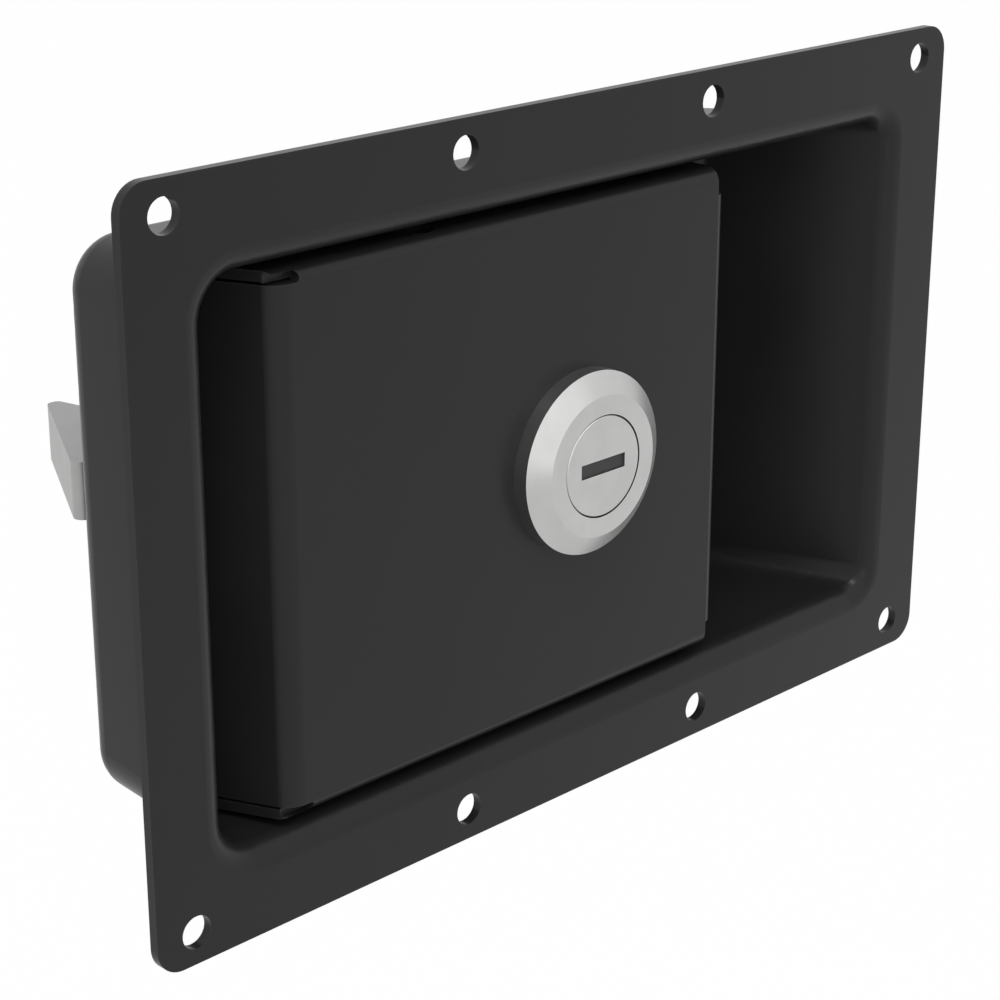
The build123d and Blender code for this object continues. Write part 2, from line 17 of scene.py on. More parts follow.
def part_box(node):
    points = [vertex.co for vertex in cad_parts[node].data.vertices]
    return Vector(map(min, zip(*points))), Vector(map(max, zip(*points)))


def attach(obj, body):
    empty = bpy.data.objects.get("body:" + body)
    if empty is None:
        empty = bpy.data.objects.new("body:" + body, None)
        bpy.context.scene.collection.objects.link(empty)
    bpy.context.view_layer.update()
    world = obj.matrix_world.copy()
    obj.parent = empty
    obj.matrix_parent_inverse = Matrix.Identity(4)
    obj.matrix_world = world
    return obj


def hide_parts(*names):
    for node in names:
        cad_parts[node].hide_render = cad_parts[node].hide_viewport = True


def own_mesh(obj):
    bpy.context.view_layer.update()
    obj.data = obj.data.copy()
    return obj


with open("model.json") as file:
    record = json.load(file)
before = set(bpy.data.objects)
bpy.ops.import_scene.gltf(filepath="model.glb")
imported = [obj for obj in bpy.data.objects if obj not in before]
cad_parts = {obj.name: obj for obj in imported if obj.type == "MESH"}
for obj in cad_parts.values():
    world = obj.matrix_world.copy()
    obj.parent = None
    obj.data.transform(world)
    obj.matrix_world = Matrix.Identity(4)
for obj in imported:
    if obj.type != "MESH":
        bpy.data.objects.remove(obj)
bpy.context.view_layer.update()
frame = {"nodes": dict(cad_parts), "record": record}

nodes = frame["nodes"]
scene = bpy.context.scene

# %% [markdown]
# ## The camera
# The view is a three-quarter one from the left, at 20 degrees above the latch. Matching a
# camera by eye takes long, but the flange has eight holes in a known grid, so its place, turn
# and lens can be worked out from them. The three axes below are that turn.

# %% Camera
camera_right = Vector((0.70808, -0.70613, 0.00031))
camera_up = Vector((0.24235, 0.24343, 0.93915))
camera_back = Vector((-0.66324, -0.66492, 0.34350))
camera_place = Vector((-0.25365, -0.23679, 0.11941))
camera_lens = 89.786

camera_data = bpy.data.cameras.new("camera")
camera_data.sensor_width = 36.0
camera_data.lens = camera_lens
camera_data.clip_start = 0.01
camera = bpy.data.objects.new("camera", camera_data)
scene.collection.objects.link(camera)
turn = Matrix((camera_right, camera_up, camera_back)).transposed()
camera.matrix_world = Matrix.Translation(camera_place) @ turn.to_4x4()
scene.camera = camera
scene.view_settings.view_transform = "Standard"
print("camera at", [round(v, 3) for v in camera_place])

# %% [markdown]
# ## Small helpers for node trees
# Every finish here is a Principled BSDF with procedural inputs. Writing the nodes out by hand
# each time hides what differs between two finishes, so these helpers do the repeated part:
# they add a node, set its plain inputs and join the sockets that are named. The shapes that
# are made of nodes, further down, use the same ones.


# %% Helpers: one node at a time
def set_input(tree, socket, value):
    """Join a socket to another one, or give it a plain value."""
    if isinstance(value, bpy.types.NodeSocket):
        tree.links.new(value, socket)
    else:
        socket.default_value = value


def add_node(tree, kind, settings=None, inputs=None):
    """Add a node, set its properties, then set or link its inputs by name or number."""
    node = tree.nodes.new(kind)
    for key, value in (settings or {}).items():
        setattr(node, key, value)
    for key, value in (inputs or {}).items():
        set_input(tree, node.inputs[key], value)
    return node


def number(tree, operation, *terms):
    """The result of a Math node on numbers or sockets."""
    return add_node(tree, "ShaderNodeMath", {"operation": operation},
                    dict(enumerate(terms))).outputs[0]


def remap(tree, value, low, high, to_low, to_high):
    """The result of a clamped Map Range node."""
    return add_node(tree, "ShaderNodeMapRange", None, {
        0: value, 1: low, 2: high, 3: to_low, 4: to_high}).outputs[0]


def blend_colours(tree, mask, first, second):
    """Two colours mixed by a mask. A Mix node has its colours at inputs 6 and 7."""
    mix = add_node(tree, "ShaderNodeMix", {"data_type": "RGBA"}, {
        0: mask, 6: first, 7: second})
    return mix.outputs[2]


def noise(tree, place, scale, detail, roughness):
    """The value of a Noise node at a place."""
    return add_node(tree, "ShaderNodeTexNoise", None, {
        "Vector": place, "Scale": scale, "Detail": detail, "Roughness": roughness}).outputs[0]


# %% Helpers: materials and shader groups
def new_material(name, metallic, **fixed):
    """A material with a Principled BSDF, whose plain sockets are set here."""
    material = bpy.data.materials.new(name)
    material.use_nodes = True
    shader = material.node_tree.nodes["Principled BSDF"]
    shader.inputs["Metallic"].default_value = metallic
    for socket, value in fixed.items():
        shader.inputs[socket.replace("_", " ")].default_value = value
    return material, material.node_tree, shader


def new_group(name, inputs, outputs):
    """A shader node group with named inputs and outputs."""
    tree = bpy.data.node_groups.new(name, "ShaderNodeTree")
    for label, kind, value in inputs:
        socket = tree.interface.new_socket(label, in_out="INPUT", socket_type=kind)
        socket.default_value = value
    for label, kind in outputs:
        tree.interface.new_socket(label, in_out="OUTPUT", socket_type=kind)
    return tree, tree.nodes.new("NodeGroupInput").outputs, tree.nodes.new("NodeGroupOutput")


def end_group(tree, group_out, results):
    """Join the results to the outputs of a shader node group."""
    for label, value in results.items():
        tree.links.new(value, group_out.inputs[label])
    print("group", tree.name, "gives", list(results))


def use_group(tree, group, inputs):
    """Place a shader node group in a material and set its inputs."""
    return add_node(tree, "ShaderNodeGroup", {"node_tree": group}, inputs)


# %% [markdown]
# ## Effects that several finishes share
# Powder coat has a fine skin like orange peel. Plated and turned metal has grain along one
# direction. Both take another tone at the corners, from wear and from painted light along the
# edges. Each effect is a node group, so one change here changes every material that uses it,
# and each material still sets its own size and strength.


# %% Helpers: what the effects have in common
NUMBER, DIRECTION = "NodeSocketFloat", "NodeSocketVector"


def object_place(tree):
    """The place on the object itself, so that a pattern moves with its piece."""
    return add_node(tree, "ShaderNodeTexCoord").outputs["Object"]


def drifting_roughness(tree, inputs, mask, low, high):
    """Roughness that drifts with a mask, by its spread to either side."""
    middle_value, spread = inputs["Roughness"], inputs["Roughness Spread"]
    return remap(tree, mask, low, high, number(tree, "SUBTRACT", middle_value, spread),
                 number(tree, "ADD", middle_value, spread))


def bump(tree, depth, height, metres):
    """A normal that leans with a height."""
    return add_node(tree, "ShaderNodeBump", None, {
        "Strength": depth, "Distance": metres, "Height": height}).outputs[0]


# %% Group: orange peel skin
PEEL_CLOUDS, PEEL_BUMP = 38.0, 0.00002

peel_group, peel_in, peel_out = new_group(
    "orange_peel",
    [("Cell Size", NUMBER, 0.0008), ("Depth", NUMBER, 0.2), ("Roughness", NUMBER, 0.4),
     ("Roughness Spread", NUMBER, 0.05)],
    [("Roughness", NUMBER), ("Cloud", NUMBER), ("Normal", DIRECTION)])
place = object_place(peel_group)
cells = number(peel_group, "DIVIDE", 1.0, peel_in["Cell Size"])
fine = noise(peel_group, place, cells, 1.5, 0.45)
cloud = noise(peel_group, place, PEEL_CLOUDS, 3.0, 0.55)
end_group(peel_group, peel_out, {
    "Roughness": drifting_roughness(peel_group, peel_in, cloud, 0.35, 0.65),
    "Cloud": cloud,
    "Normal": bump(peel_group, peel_in["Depth"], fine, PEEL_BUMP)})

# %% Group: grain along one direction
GRAIN_CLOUDS, GRAIN_BUMP = 160.0, 0.00001

grain_group, grain_in, grain_out = new_group(
    "metal_grain",
    [("Stretch", DIRECTION, (1.0, 1.0, 1.0)), ("Depth", NUMBER, 0.2),
     ("Roughness", NUMBER, 0.3), ("Roughness Spread", NUMBER, 0.08)],
    [("Streak", NUMBER), ("Roughness", NUMBER), ("Cloud", NUMBER), ("Normal", DIRECTION)])
place = object_place(grain_group)
stretched = add_node(grain_group, "ShaderNodeVectorMath", {"operation": "MULTIPLY"}, {
    0: place, 1: grain_in["Stretch"]}).outputs[0]
streak = noise(grain_group, stretched, 1.0, 4.0, 0.6)
end_group(grain_group, grain_out, {
    "Streak": streak,
    "Roughness": drifting_roughness(grain_group, grain_in, streak, 0.3, 0.7),
    "Cloud": noise(grain_group, place, GRAIN_CLOUDS, 3.0, 0.6),
    "Normal": bump(grain_group, grain_in["Depth"], streak, GRAIN_BUMP)})

# %% Group: edges, for wear and painted light
# The Bevel node rounds the normal near an edge, so an edge is where it leaves the true normal
# The mask marks the corners: the metals get wear and a painted highlight there, the coat a
# painted highlight, and the bolt a painted shade line.
EDGE_STARTS, EDGE_FULL = 0.97, 0.80
PATCH_STARTS, PATCH_FULL, PATCH_SCALE = 0.40, 0.62, 420.0

edge_group, edge_in, edge_out = new_group(
    "edge_wear_and_light",
    [("Radius", NUMBER, 0.0004), ("Patchiness", NUMBER, 0.5)],
    [("Mask", NUMBER)])
rounded = add_node(edge_group, "ShaderNodeBevel", {"samples": 4}, {
    "Radius": edge_in["Radius"]})
true_side = add_node(edge_group, "ShaderNodeNewGeometry")
agree = add_node(edge_group, "ShaderNodeVectorMath", {"operation": "DOT_PRODUCT"}, {
    0: rounded.outputs[0], 1: true_side.outputs["Normal"]})
edge = remap(edge_group, agree.outputs["Value"], EDGE_STARTS, EDGE_FULL, 0.0, 1.0)
patches = remap(edge_group, noise(edge_group, object_place(edge_group), PATCH_SCALE, 4.0, 0.65),
                PATCH_STARTS, PATCH_FULL, 0.0, 1.0)
kept = add_node(edge_group, "ShaderNodeMix", {"data_type": "FLOAT"}, {
    0: edge_in["Patchiness"], 2: 1.0, 3: patches})
end_group(edge_group, edge_out, {
    "Mask": number(edge_group, "MULTIPLY", edge, kept.outputs[0])})

# %% [markdown]
# ## The black coat, the nylon and the dust flap
# The dish and the paddle carry a semi-gloss black powder coat. A flat black would look like a
# hole, so the colour drifts a little with the thickness of the coat, the skin has its orange
# peel, and the outer corners carry a painted highlight a shade lighter. The spacers on the
# pivot pin are natural nylon, which is milky and a little soft at the surface. The flap in the
# key slot is dull grey, seen only as the dark of the slot. All three are a skin over one
# drifting colour, so they share a function.


# %% Coat, nylon and flap
def join_shader(tree, shader, colour, skin):
    """Give a shader its colour, and the roughness and the normal of a group."""
    tree.links.new(colour, shader.inputs["Base Color"])
    tree.links.new(skin.outputs["Roughness"], shader.inputs["Roughness"])
    tree.links.new(skin.outputs["Normal"], shader.inputs["Normal"])


def skinned(name, dark, bright, skin, edge_highlight=None, **fixed):
    """A finish with an orange peel skin, whose colour drifts between two tones, with an
    optional painted highlight along its edges.
    """
    material, tree, shader = new_material(name, 0.0, **fixed)
    peel = use_group(tree, peel_group, skin)
    cloudy = remap(tree, peel.outputs["Cloud"], 0.3, 0.7, 0.0, 1.0)
    colour = blend_colours(tree, cloudy, dark, bright)
    # A lighter tone along the edges is a painted highlight.
    if edge_highlight:
        wear_and_edge_light = use_group(tree, edge_group, {"Radius": 0.0005, "Patchiness": 0.75})
        colour = blend_colours(tree, wear_and_edge_light.outputs["Mask"], colour, edge_highlight)
    join_shader(tree, shader, colour, peel)
    return material


finishes = {
    "black_coat": skinned(
        "black_coat", (0.0183, 0.0183, 0.0186, 1), (0.0208, 0.0208, 0.0211, 1),
        {"Cell Size": 0.0009, "Depth": 0.10, "Roughness": 0.31, "Roughness Spread": 0.03},
        # The lighter tone at the corners is a painted highlight.
        edge_highlight=(0.036, 0.036, 0.037, 1), IOR=1.5, Specular_IOR_Level=0.21),
    "white_nylon": skinned(
        "white_nylon", (0.66, 0.65, 0.60, 1), (0.75, 0.74, 0.70, 1),
        {"Cell Size": 0.0005, "Depth": 0.15, "Roughness": 0.48, "Roughness Spread": 0.06},
        IOR=1.53),
    "shutter_grey": skinned(
        "shutter_grey", (0.026, 0.026, 0.026, 1), (0.034, 0.034, 0.034, 1),
        {"Cell Size": 0.0004, "Depth": 0.2, "Roughness": 0.5, "Roughness Spread": 0.05},
        IOR=1.5),
}
print("skinned finishes", list(finishes))

# %% [markdown]
# ## The bare metals
# They share one recipe: grain along the way each piece was made, a blotchy film of plating,
# and corners of another tone, from wear and from painted light. Only the numbers differ, so one
# function makes them all. The bolt's faces that look up or down carry a painted shade, darker
# than its sides, so its recipe has one colour more.


# %% One recipe for every metal
FILM_SHARE, STREAK_SHARE = 0.7, 0.3
# How strongly faces that look up or down are darkened, a painted shade.
UPRIGHT_SHADE_STARTS, UPRIGHT_SHADE_FULL, UPRIGHT_SHADE_COVER = 0.5, 0.95, 0.8


def shade_upright_faces(tree, colour, upright_shade_colour):
    """Faces that look up or down get a darker tone, a painted shade."""
    side = add_node(tree, "ShaderNodeTexCoord").outputs["Normal"]
    facing = add_node(tree, "ShaderNodeSeparateXYZ", None, {0: side})
    upright = number(tree, "ABSOLUTE", facing.outputs[2])
    upright_shade = remap(tree, upright, UPRIGHT_SHADE_STARTS, UPRIGHT_SHADE_FULL, 0.0, UPRIGHT_SHADE_COVER)
    return blend_colours(tree, upright_shade, colour, upright_shade_colour)


def metal(name, dark, bright, edge, stretch, depth, roughness, spread, metallic=1.0,
          upright_shade=None):
    """A grained metal whose colour drifts between two tones, with an optional painted shade on
    faces that look up or down.
    """
    material, tree, shader = new_material(name, metallic)
    grain = use_group(tree, grain_group, {
        "Stretch": stretch, "Depth": depth, "Roughness": roughness,
        "Roughness Spread": spread})
    wear_and_edge_light = use_group(tree, edge_group, {"Radius": 0.0004, "Patchiness": 0.4})
    film = remap(tree, grain.outputs["Cloud"], 0.35, 0.65, 0.0, 1.0)
    streaks = remap(tree, grain.outputs["Streak"], 0.3, 0.7, 0.0, 1.0)
    drift = number(tree, "MULTIPLY_ADD", streaks, STREAK_SHARE,
                   number(tree, "MULTIPLY", film, FILM_SHARE))
    colour = blend_colours(tree, drift, dark, bright)
    colour = blend_colours(tree, wear_and_edge_light.outputs["Mask"], colour, edge)
    # Faces that look up or down take a darker tone, a painted shade.
    if upright_shade:
        colour = shade_upright_faces(tree, colour, upright_shade)
    join_shader(tree, shader, colour, grain)
    return material


# %% The metals
ALONG_X = (300.0, 9000.0, 9000.0)
ALONG_Z = (9000.0, 9000.0, 300.0)
EVEN = (3000.0, 3000.0, 3000.0)

recipes = {
    "satin_lock": dict(
        dark=(0.52, 0.52, 0.515, 1), bright=(0.58, 0.58, 0.575, 1),
        edge=(0.64, 0.64, 0.635, 1), stretch=EVEN, depth=0.05, roughness=0.34, spread=0.04),
    "bolt_steel": dict(
        dark=(0.47, 0.47, 0.465, 1), bright=(0.52, 0.52, 0.515, 1),
        # Its edge tone, darker than its sides, is a painted shade line along the edges.
        edge=(0.46, 0.46, 0.455, 1), stretch=ALONG_X, depth=0.12, roughness=0.46, spread=0.05,
        # Its faces that look up or down are darkened, a painted shade.
        metallic=0.5, upright_shade=(0.33, 0.33, 0.33, 1)),
    "zinc_plate": dict(
        dark=(0.45, 0.46, 0.47, 1), bright=(0.56, 0.57, 0.58, 1),
        edge=(0.64, 0.65, 0.66, 1), stretch=EVEN, depth=0.10, roughness=0.34, spread=0.08),
    "bright_steel": dict(
        dark=(0.52, 0.52, 0.52, 1), bright=(0.62, 0.62, 0.62, 1),
        edge=(0.70, 0.70, 0.70, 1), stretch=ALONG_Z, depth=0.15, roughness=0.24, spread=0.06),
    "dark_spring_steel": dict(
        dark=(0.10, 0.10, 0.105, 1), bright=(0.15, 0.15, 0.155, 1),
        edge=(0.24, 0.24, 0.24, 1), stretch=EVEN, depth=0.10, roughness=0.38, spread=0.06),
    "spring_wire": dict(
        dark=(0.34, 0.34, 0.345, 1), bright=(0.44, 0.44, 0.445, 1),
        edge=(0.50, 0.50, 0.50, 1), stretch=EVEN, depth=0.10, roughness=0.28, spread=0.06),
    "wafer_brass": dict(
        dark=(0.52, 0.38, 0.15, 1), bright=(0.66, 0.50, 0.22, 1),
        edge=(0.74, 0.60, 0.32, 1), stretch=ALONG_X, depth=0.10, roughness=0.34, spread=0.08),
}
for name, recipe in recipes.items():
    finishes[name] = metal(name, **recipe)
print("metals", list(recipes))

# %% [markdown]
# ## Dressing the exact solids
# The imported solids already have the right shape. Each takes the material of its slot in the
# record, so the list of pieces is written only once, where the part is described.

# %% Give each solid its finish
slot_of = {row["node"]: row["material_slot"] for row in frame["record"]["subparts"]}
for name, solid in nodes.items():
    solid.data.materials.clear()
    solid.data.materials.append(finishes[slot_of[name]])
print("dressed", len(nodes), "solids")

# %% [markdown]
# ## Helpers for Geometry Nodes
# A spring or a set of rivets follows a rule, so a node tree makes it from a few sizes. A tree
# is easier to change than a list of points: its inputs have names, and the same tree serves
# each piece with other values. What it makes is then kept as a plain mesh, because the
# exported part can't hold a live tree.

# %% Helpers: shape trees
WHOLE, PLACE, FINISH = "NodeSocketInt", "NodeSocketVector", "NodeSocketMaterial"


def new_shape_tree(name, inputs):
    """A Geometry Nodes tree with named inputs and one geometry output."""
    tree = bpy.data.node_groups.new(name, "GeometryNodeTree")
    tree.interface.new_socket("Shape", in_out="OUTPUT", socket_type="NodeSocketGeometry")
    for label, kind, value in inputs:
        socket = tree.interface.new_socket(label, in_out="INPUT", socket_type=kind)
        if value is not None:
            socket.default_value = value
    return tree, tree.nodes.new("NodeGroupInput").outputs, tree.nodes.new("NodeGroupOutput")


def vector(tree, x, y, z):
    """Three numbers or sockets as one vector."""
    return add_node(tree, "ShaderNodeCombineXYZ", None, {0: x, 1: y, 2: z}).outputs[0]


def moved_to(tree, shape, places):
    """The points of a shape, each at its new place."""
    return add_node(tree, "GeometryNodeSetPosition", None, {
        "Geometry": shape, "Position": places}).outputs[0]


def smooth(tree, shape):
    """A shape that shades smoothly."""
    return add_node(tree, "GeometryNodeSetShadeSmooth", None, {0: shape}).outputs[0]


def end_tree(tree, result, shape, place, turn, finish):
    """Put the shape in its place, make its instances real and set its material."""
    placed = add_node(tree, "GeometryNodeTransform", None, {
        "Geometry": shape, "Translation": place, "Rotation": turn})
    real = add_node(tree, "GeometryNodeRealizeInstances", None, {0: placed.outputs[0]})
    dressed = add_node(tree, "GeometryNodeSetMaterial", None, {
        "Geometry": real.outputs[0], "Material": finish})
    tree.links.new(dressed.outputs[0], result.inputs[0])
    print("tree", tree.name, "has", len(tree.nodes), "nodes")


# %% Helpers: from a tree to a piece
def grow_piece(name, tree, slot, values):
    """Run a tree once and keep what it makes as a plain mesh."""
    piece = bpy.data.objects.new(name, bpy.data.meshes.new(name))
    scene.collection.objects.link(piece)
    modifier = piece.modifiers.new("shape", "NODES")
    modifier.node_group = tree
    values = dict(values, Finish=finishes[slot])
    for item in tree.interface.items_tree:
        if item.in_out == "INPUT" and item.name in values:
            modifier[item.identifier] = values[item.name]
    graph = bpy.context.evaluated_depsgraph_get()
    grown = bpy.data.meshes.new_from_object(piece.evaluated_get(graph))
    piece.modifiers.remove(modifier)
    piece.data = grown
    print(name, len(grown.polygons), "faces")
    return piece


def corners_of(node):
    """The lowest and the highest corner of a node's box."""
    return tuple(Vector(corner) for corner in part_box(node))


def middle(node):
    """The middle of a node's box, and its size."""
    low, high = corners_of(node)
    return (low + high) / 2, high - low


# %% [markdown]
# ## Springs
# The latch has two: a compression spring that pushes the bolt out, and a torsion spring round
# the pivot pin that closes the paddle. Both are one wire that runs round an axis. One tree
# makes both: each point of the wire gets its angle and height from its place along it. The end
# turns of a compression spring are closed up, so that it stands square, and a torsion spring
# ends in two straight legs. A plain spiral has neither.

# %% Tree: wound wire, its inputs and its line
wire_tree, wire_in, wire_out = new_shape_tree("wound_wire", [
    ("Turns", NUMBER, 8.0), ("Closed Turns", NUMBER, 1.0), ("Coil Radius", NUMBER, 0.004),
    ("Wire Radius", NUMBER, 0.0005), ("Length", NUMBER, 0.02),
    ("First Leg", NUMBER, 0.0), ("Last Leg", NUMBER, 0.0), ("Leg Share", NUMBER, 0.0),
    ("Points", WHOLE, 300), ("Sides", WHOLE, 10), ("Place", PLACE, (0, 0, 0)),
    ("Turn", "NodeSocketRotation", None), ("Finish", FINISH, None)])


def wire_number(operation, *terms):
    """A Math node in the wire's tree."""
    return number(wire_tree, operation, *terms)


line = add_node(wire_tree, "GeometryNodeCurvePrimitiveLine")
points = add_node(wire_tree, "GeometryNodeResampleCurve", {"mode": "COUNT"}, {
    "Curve": line.outputs[0], "Count": wire_in["Points"]})
along = add_node(wire_tree, "GeometryNodeSplineParameter").outputs["Factor"]
print("inputs of the wire", [item.name for item in wire_tree.interface.items_tree][1:])

# %% [markdown]
# The wire is shared out: a part for each leg, and the rest for the coil. Each part has a value
# that runs from 0 to 1 in it and stays still outside it. The coil's value gives the angle. A
# leg's value is nought in the coil and grows towards its end of the wire.

# %% Tree: wound wire, the turns and the legs
leg_share = wire_in["Leg Share"]
coil_share = wire_number("MULTIPLY_ADD", leg_share, -2.0, 1.0)
coil_part = add_node(wire_tree, "ShaderNodeClamp", None, {
    0: wire_number("DIVIDE", wire_number("SUBTRACT", along, leg_share), coil_share)}).outputs[0]
first_part = wire_number("MAXIMUM", 0.0, wire_number(
    "DIVIDE", wire_number("SUBTRACT", leg_share, along), leg_share))
last_start = wire_number("SUBTRACT", 1.0, leg_share)
last_part = wire_number("MAXIMUM", 0.0, wire_number(
    "DIVIDE", wire_number("SUBTRACT", along, last_start), leg_share))
angle = wire_number(
    "MULTIPLY", coil_part, wire_number("MULTIPLY", wire_in["Turns"], 2 * math.pi))
cosine, sine = wire_number("COSINE", angle), wire_number("SINE", angle)
reach = wire_number(
    "SUBTRACT", wire_number("MULTIPLY", last_part, wire_in["Last Leg"]),
    wire_number("MULTIPLY", first_part, wire_in["First Leg"]))
across = wire_number(
    "SUBTRACT", wire_number("MULTIPLY", cosine, wire_in["Coil Radius"]),
    wire_number("MULTIPLY", sine, reach))
up = wire_number(
    "ADD", wire_number("MULTIPLY", sine, wire_in["Coil Radius"]),
    wire_number("MULTIPLY", cosine, reach))
print("the wire has", len(wire_tree.nodes), "nodes so far")

# %% [markdown]
# A closed turn rises by little more than the wire's width, because it lies on its neighbour.
# The open turns share the height that is left. Three ramps, one after the other, add up to
# the height of each point, and a small circle is then swept along the wire.

# %% Tree: wound wire, the rise and the sweep
CLOSED_RISE = 2.04  # in wire radii

end_share = wire_number("DIVIDE", wire_in["Closed Turns"], wire_in["Turns"])
end_start = wire_number("SUBTRACT", 1.0, end_share)
end_rise = wire_number("MULTIPLY", wire_in["Closed Turns"], wire_number(
    "MULTIPLY", wire_in["Wire Radius"], CLOSED_RISE))
open_rise = wire_number("MULTIPLY_ADD", end_rise, -2.0, wire_in["Length"])
height = wire_number(
    "ADD", remap(wire_tree, coil_part, 0.0, end_share, 0.0, end_rise),
    remap(wire_tree, coil_part, end_share, end_start, 0.0, open_rise))
height = wire_number(
    "ADD", height, remap(wire_tree, coil_part, end_start, 1.0, 0.0, end_rise))
wound = moved_to(wire_tree, points.outputs[0], vector(wire_tree, across, up, height))
section = add_node(wire_tree, "GeometryNodeCurvePrimitiveCircle", None, {
    "Resolution": wire_in["Sides"], "Radius": wire_in["Wire Radius"]})
wire = add_node(wire_tree, "GeometryNodeCurveToMesh", None, {
    "Curve": wound, "Profile Curve": section.outputs[0], "Fill Caps": True})
end_tree(wire_tree, wire_out, smooth(wire_tree, wire.outputs[0]), wire_in["Place"],
         wire_in["Turn"], wire_in["Finish"])

# %% [markdown]
# The bolt spring stands between the bolt's tail and the end of its housing. When the bolt
# draws back, the real spring gets shorter. Here it is wound once, as long as the spring's box
# in the model and starting from its low end.

# %% The bolt spring
WIRE_POINTS = 420
BOLT_WIRE = 0.00045

place, size = middle("bolt_spring")
bolt_spring = grow_piece("coiled_bolt_spring", wire_tree, "spring_wire", {
    "Turns": 9.0, "Closed Turns": 1.0, "Coil Radius": size.z / 2 - BOLT_WIRE,
    "Wire Radius": BOLT_WIRE, "Length": size.x - 2 * BOLT_WIRE, "Points": WIRE_POINTS,
    "Place": (place.x - size.x / 2 + BOLT_WIRE, place.y, place.z),
    "Turn": (0.0, math.pi / 2, 0.0)})
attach(bolt_spring, "case")
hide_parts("bolt_spring")
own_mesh(bolt_spring)

# %% The return spring
RETURN_WIRE = 0.0006

pin_middle = middle("pivot_pin")[0]
size = middle("return_spring")[1]
low, high = corners_of("return_spring")
return_spring = grow_piece("wound_return_spring", wire_tree, "spring_wire", {
    "Turns": 7.0, "Closed Turns": 0.0, "Coil Radius": size.x / 2 - RETURN_WIRE,
    "Wire Radius": RETURN_WIRE, "Length": size.z - 2 * RETURN_WIRE,
    "First Leg": pin_middle.y - low.y, "Last Leg": high.y - pin_middle.y,
    "Leg Share": 0.09, "Points": WIRE_POINTS,
    "Place": (pin_middle.x, pin_middle.y, low.z + RETURN_WIRE)})
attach(return_spring, "case")
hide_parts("return_spring")

# %% [markdown]
# ## Rivets
# Four rivets hold the hinge bracket and four hold the bolt housing. A rivet is a shank with a
# low domed head at each end, all alike, so one rivet is made once and copied to the corners
# of a rectangle. The dome is a flat grid of points that the tree bends round: one direction
# of the grid is the turn about the axis, the other runs from the underside to the crown.

# %% Tree: rivets, the dome
HEAD_HEIGHT, HEAD_RADIUS = 0.0013, 0.0034
UNDERSIDE = 0.25  # the share of the steps that the underside takes
WELD_POINTS = 0.0000005

rivet_tree, rivet_in, rivet_out = new_shape_tree("corner_rivets", [
    ("Head Radius", NUMBER, HEAD_RADIUS), ("Head Height", NUMBER, HEAD_HEIGHT),
    ("Shank Radius", NUMBER, 0.002), ("Grip", NUMBER, 0.003), ("Boxiness", NUMBER, 0.5),
    ("Columns Apart", NUMBER, 0.01), ("Rows Apart", NUMBER, 0.05), ("Sides", WHOLE, 40),
    ("Steps", WHOLE, 17), ("Place", PLACE, (0, 0, 0)), ("Finish", FINISH, None)])


def rivet_number(operation, *terms):
    """A Math node in the rivets' tree."""
    return number(rivet_tree, operation, *terms)


flat = add_node(rivet_tree, "GeometryNodeMeshGrid", None, {
    "Size X": 1.0, "Size Y": 1.0, "Vertices X": rivet_in["Sides"],
    "Vertices Y": rivet_in["Steps"]})
where = add_node(rivet_tree, "ShaderNodeSeparateXYZ", None, {
    0: add_node(rivet_tree, "GeometryNodeInputPosition").outputs[0]})
spin = rivet_number("MULTIPLY", rivet_number("ADD", where.outputs[0], 0.5), 2 * math.pi)
climb = rivet_number("ADD", where.outputs[1], 0.5)
under = remap(rivet_tree, climb, 0.0, UNDERSIDE, 0.0, 1.0)
crown = remap(rivet_tree, climb, UNDERSIDE, 1.0, 0.0, math.pi / 2)
width = rivet_number("POWER", rivet_number(
    "MAXIMUM", rivet_number("COSINE", crown), 0.0), rivet_in["Boxiness"])
width = rivet_number("MULTIPLY", rivet_number("MULTIPLY", width, under),
                     rivet_in["Head Radius"])
rise = rivet_number("MULTIPLY", rivet_number("SINE", crown), rivet_in["Head Height"])
rise = rivet_number("ADD", rise, rivet_number("MULTIPLY", rivet_in["Grip"], 0.5))
bent = moved_to(rivet_tree, flat.outputs[0], vector(
    rivet_tree, rivet_number("MULTIPLY", width, rivet_number("COSINE", spin)),
    rivet_number("MULTIPLY", width, rivet_number("SINE", spin)), rise))
dome = add_node(rivet_tree, "GeometryNodeMergeByDistance", None, {
    "Geometry": bent, "Distance": WELD_POINTS})
print("the dome has", len(rivet_tree.nodes), "nodes")

# %% Tree: rivets, one whole rivet at each corner
other = add_node(rivet_tree, "GeometryNodeTransform", None, {
    "Geometry": dome.outputs[0], "Rotation": (math.pi, 0.0, 0.0)})
shank = add_node(rivet_tree, "GeometryNodeMeshCylinder", None, {
    "Vertices": rivet_in["Sides"], "Radius": rivet_in["Shank Radius"],
    "Depth": rivet_in["Grip"]})
rivet = add_node(rivet_tree, "GeometryNodeJoinGeometry")
for shape in (dome, other, shank):
    rivet_tree.links.new(shape.outputs[0], rivet.inputs[0])
corners = add_node(rivet_tree, "GeometryNodeMeshGrid", None, {
    "Size X": rivet_in["Columns Apart"], "Size Y": rivet_in["Rows Apart"],
    "Vertices X": 2, "Vertices Y": 2})
copies = add_node(rivet_tree, "GeometryNodeInstanceOnPoints", None, {
    "Points": corners.outputs[0], "Instance": smooth(rivet_tree, rivet.outputs[0])})
end_tree(rivet_tree, rivet_out, copies.outputs[0], rivet_in["Place"],
         (math.pi / 2, 0.0, 0.0), rivet_in["Finish"])

